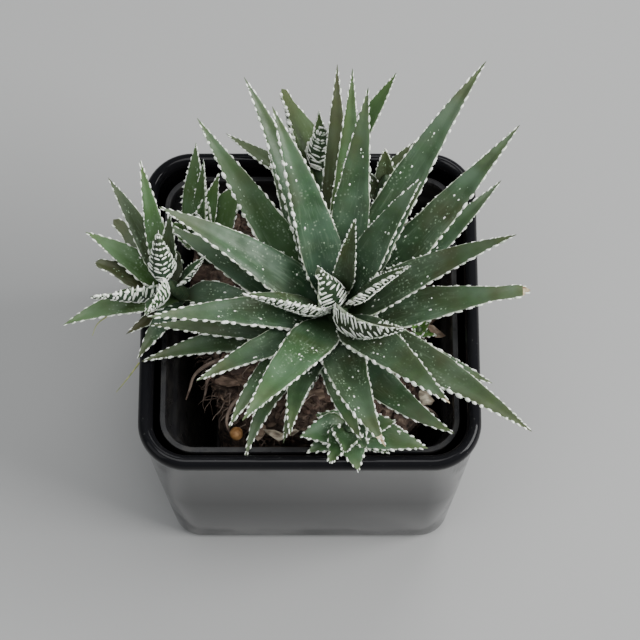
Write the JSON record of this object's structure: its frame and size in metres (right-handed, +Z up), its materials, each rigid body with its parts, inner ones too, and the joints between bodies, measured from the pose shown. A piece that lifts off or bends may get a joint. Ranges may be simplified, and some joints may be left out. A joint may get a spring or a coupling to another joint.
{
  "type": "potted haworthia",
  "caption": "Zebra haworthia with a large rosette and its offsets, rooted in a thin square nursery pot that stands inside a glossy square cachepot.",
  "frame": {"origin": "middle of the cachepot's foot, on the surface it stands on", "axes": "+Z up, +X to the right of the pot and +Y to its back, seen from the front"},
  "size_m": [0.1349, 0.1109, 0.1546],
  "materials": {
    "cachepot_black": "glossy",
    "nursery_black": "satin",
    "bark_mix": "rough",
    "stem_green": "matt",
    "leaf_green": "satin"
  },
  "bodies": {
    "root": {"cachepot": "cachepot_black", "nursery_pot": "nursery_black", "potting_mix": "bark_mix", "mother_stem": "stem_green", "left_pup_stem": "stem_green", "mother_leaf_01": "leaf_green", "mother_leaf_02": "leaf_green", "mother_leaf_03": "leaf_green", "mother_leaf_04": "leaf_green", "mother_leaf_05": "leaf_green", "mother_leaf_06": "leaf_green", "mother_leaf_07": "leaf_green", "mother_leaf_08": "leaf_green", "mother_leaf_09": "leaf_green", "mother_leaf_10": "leaf_green", "mother_leaf_11": "leaf_green", "mother_leaf_12": "leaf_green", "mother_leaf_13": "leaf_green", "mother_leaf_14": "leaf_green", "mother_leaf_15": "leaf_green", "mother_leaf_16": "leaf_green", "mother_leaf_17": "leaf_green", "mother_leaf_18": "leaf_green", "mother_leaf_19": "leaf_green", "mother_leaf_20": "leaf_green", "mother_leaf_21": "leaf_green", "mother_leaf_22": "leaf_green", "mother_leaf_23": "leaf_green", "mother_leaf_24": "leaf_green", "mother_leaf_25": "leaf_green", "mother_leaf_26": "leaf_green", "mother_leaf_27": "leaf_green", "mother_leaf_28": "leaf_green", "mother_leaf_29": "leaf_green", "mother_leaf_30": "leaf_green", "mother_leaf_31": "leaf_green", "mother_leaf_32": "leaf_green", "mother_leaf_33": "leaf_green", "mother_leaf_34": "leaf_green", "mother_leaf_35": "leaf_green", "left_pup_leaf_01": "leaf_green", "left_pup_leaf_02": "leaf_green", "left_pup_leaf_03": "leaf_green", "left_pup_leaf_04": "leaf_green", "left_pup_leaf_05": "leaf_green", "left_pup_leaf_06": "leaf_green", "left_pup_leaf_07": "leaf_green", "left_pup_leaf_08": "leaf_green", "left_pup_leaf_09": "leaf_green", "left_pup_leaf_10": "leaf_green", "left_pup_leaf_11": "leaf_green", "left_pup_leaf_12": "leaf_green", "left_pup_leaf_13": "leaf_green", "left_pup_leaf_14": "leaf_green", "upper_pup": "leaf_green", "top_pup": "leaf_green", "right_pup": "leaf_green", "front_pup": "leaf_green", "seedling": "leaf_green"}
  },
  "joints": []
}
